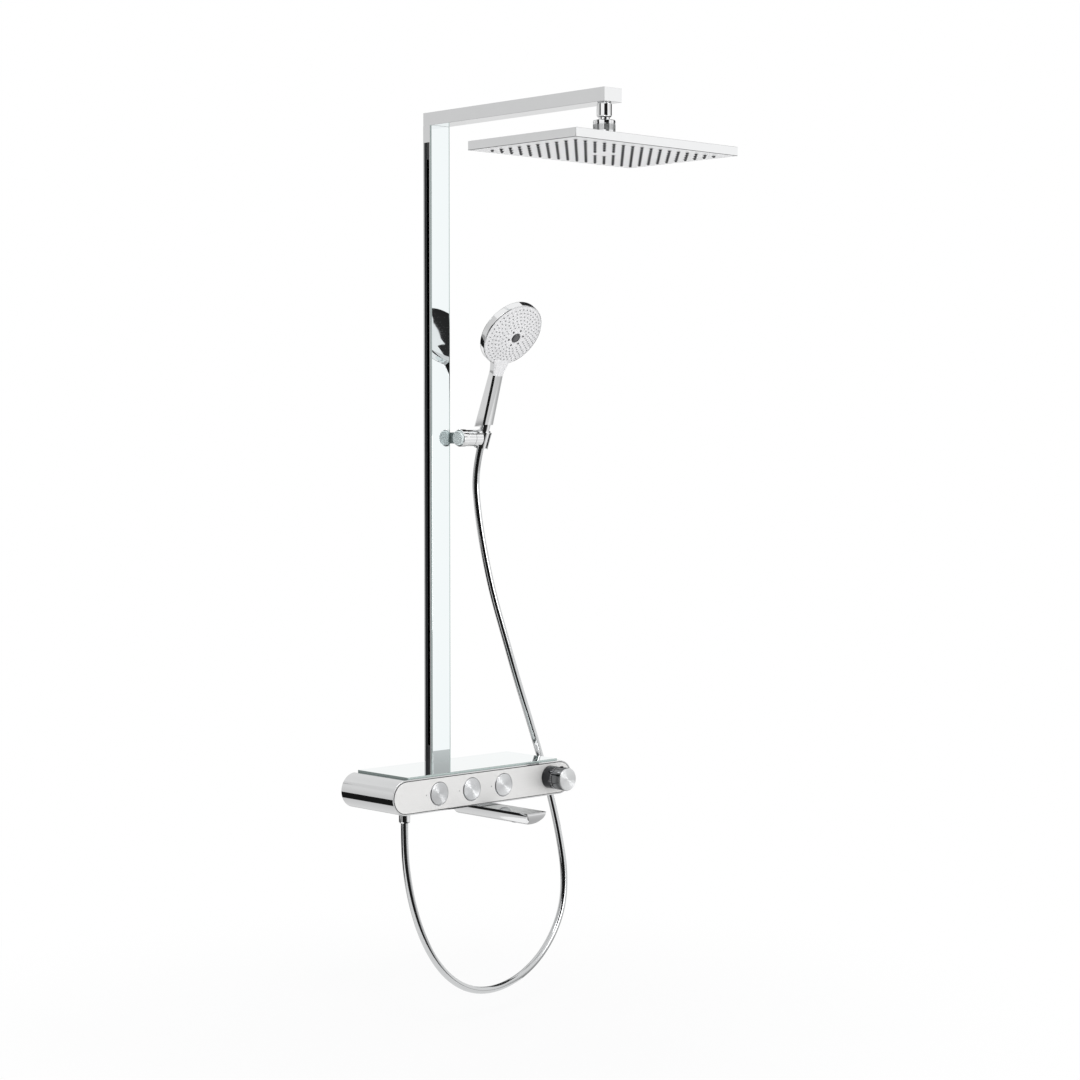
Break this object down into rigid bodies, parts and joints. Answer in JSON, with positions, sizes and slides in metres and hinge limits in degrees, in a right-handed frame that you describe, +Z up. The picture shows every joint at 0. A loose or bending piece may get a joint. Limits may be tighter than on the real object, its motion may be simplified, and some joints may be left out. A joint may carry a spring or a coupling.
{
  "type": "shower system",
  "caption": "Wall-hung thermostatic shower with a glass shelf and push buttons, glass-fronted column, flat overhead shower on a square arm, sliding hand shower on a hose and a bath spout.",
  "frame": {"origin": "midway between the two wall inlets, on the wall plane", "axes": "+X right along the wall as seen from the room, +Y into the wall, +Z up"},
  "size_m": [0.4805, 0.575, 1.5754],
  "materials": {
    "chrome": "polished chrome plate",
    "chromed_plastic": "chrome-plated plastic",
    "pale_plate": "pale satin",
    "brushed": "spun brushed",
    "shelf_glass": "mirror-backed glass with a pale green edge",
    "anodised": "polished, dark slots",
    "steel": "plain",
    "brass": "raw",
    "inner_plastic": "moulded",
    "black_plastic": "moulded",
    "white_plastic": "moulded",
    "grey_rubber": "silicone",
    "dark_plastic": "moulded",
    "hose": "smooth metal-effect sleeve"
  },
  "bodies": {
    "mixer": {"body_shell": "chrome", "rear_cover": "inner_plastic", "front_plate": "pale_plate", "glass_shelf": "shelf_glass", "mixer_block": "brass", "inlet_unions": "brass", "inlet_nuts": "brass", "inlet_seals": "grey_rubber", "valve_cartridges": "inner_plastic", "button_springs": "steel", "thermostat_cartridge": "inner_plastic", "knob_base": "chrome", "spout": "chrome", "spout_aerator": "inner_plastic", "hose_outlet": "chrome", "hose_nut_lower": "chrome", "hose_upper": "hose", "hose_lower": "hose", "column_profile": "anodised", "column_glass": "shelf_glass", "column_cap": "chrome", "slot_end_blocks": "black_plastic", "riser_pipe": "brass", "wall_bracket": "steel", "arm_shell": "chrome", "arm_elbow": "brass", "arm_pipe": "brass", "arm_outlet": "brass", "ball_stud": "chrome"},
    "seat": {"ball_seat": "inner_plastic"},
    "head": {"union_collar": "chrome", "head_socket": "chrome", "head_shell": "chrome", "spray_plate": "white_plastic", "head_nozzles": "grey_rubber"},
    "slide": {"slide_carriage": "chromed_plastic", "slide_barrel": "chrome", "slide_spring": "steel", "holder_pin": "steel"},
    "slide_button": {"slide_button": "brushed"},
    "holder": {"holder": "chrome"},
    "hand_shower": {"hose_nut_upper": "chrome", "hs_handle": "chromed_plastic", "hs_neck": "white_plastic", "hs_shell": "chromed_plastic", "hs_face": "white_plastic", "hs_centre": "dark_plastic", "hs_nozzles": "grey_rubber"},
    "button_left": {"button_cap_left": "brushed", "button_stem_left": "inner_plastic"},
    "button_middle": {"button_cap_middle": "brushed", "button_stem_middle": "inner_plastic"},
    "button_right": {"button_cap_right": "brushed", "button_stem_right": "inner_plastic"},
    "knob": {"knob_spindle": "brass", "knob_grip": "chrome", "knob_face": "brushed"},
    "safety_stop": {"safety_button": "black_plastic"}
  },
  "joints": [
    {"name": "head_turn", "type": "hinge", "parent": "mixer", "child": "seat", "pos_m": [0, -0.434, 1.127], "axis": [0, 0, 1], "range_deg": [-90, 90]},
    {"name": "head_tilt", "type": "hinge", "parent": "seat", "child": "head", "pos_m": [0, -0.434, 1.127], "axis": [1, 0, 0], "range_deg": [-10, 10]},
    {"name": "slide_move", "type": "slide", "parent": "mixer", "child": "slide", "axis": [0, 0, 1], "range_m": [-0.34, 0.2], "deforming": ["hose_upper"]},
    {"name": "slide_press", "type": "slide", "parent": "slide", "child": "slide_button", "axis": [1, 0, 0], "range_m": [0, 0.003], "stiffness_N_per_m": 1000, "deforming": ["slide_spring"]},
    {"name": "holder_tilt", "type": "hinge", "parent": "slide", "child": "holder", "pos_m": [0.084, -0.042, 0.6157], "axis": [1, 0, 0], "range_deg": [-15, 30], "deforming": ["hose_upper"]},
    {"name": "hand_shower_lift", "type": "slide", "parent": "holder", "child": "hand_shower", "axis": [0, -0.3156, 0.9489], "range_m": [0, 0.045], "deforming": ["hose_upper"]},
    {"name": "press_left", "type": "slide", "parent": "mixer", "child": "button_left", "axis": [0, 1, 0], "range_m": [0, 0.003], "stiffness_N_per_m": 800, "deforming": ["button_springs"]},
    {"name": "press_middle", "type": "slide", "parent": "mixer", "child": "button_middle", "axis": [0, 1, 0], "range_m": [0, 0.003], "stiffness_N_per_m": 800, "deforming": ["button_springs"]},
    {"name": "press_right", "type": "slide", "parent": "mixer", "child": "button_right", "axis": [0, 1, 0], "range_m": [0, 0.003], "stiffness_N_per_m": 800, "deforming": ["button_springs"]},
    {"name": "knob_turn", "type": "hinge", "parent": "mixer", "child": "knob", "pos_m": [0.1575, -0.17, 0.003], "axis": [0, 1, 0], "range_deg": [-150, 150]},
    {"name": "stop_press", "type": "slide", "parent": "knob", "child": "safety_stop", "axis": [0, 0, -1], "range_m": [0, 0.0015], "stiffness_N_per_m": 800}
  ]
}
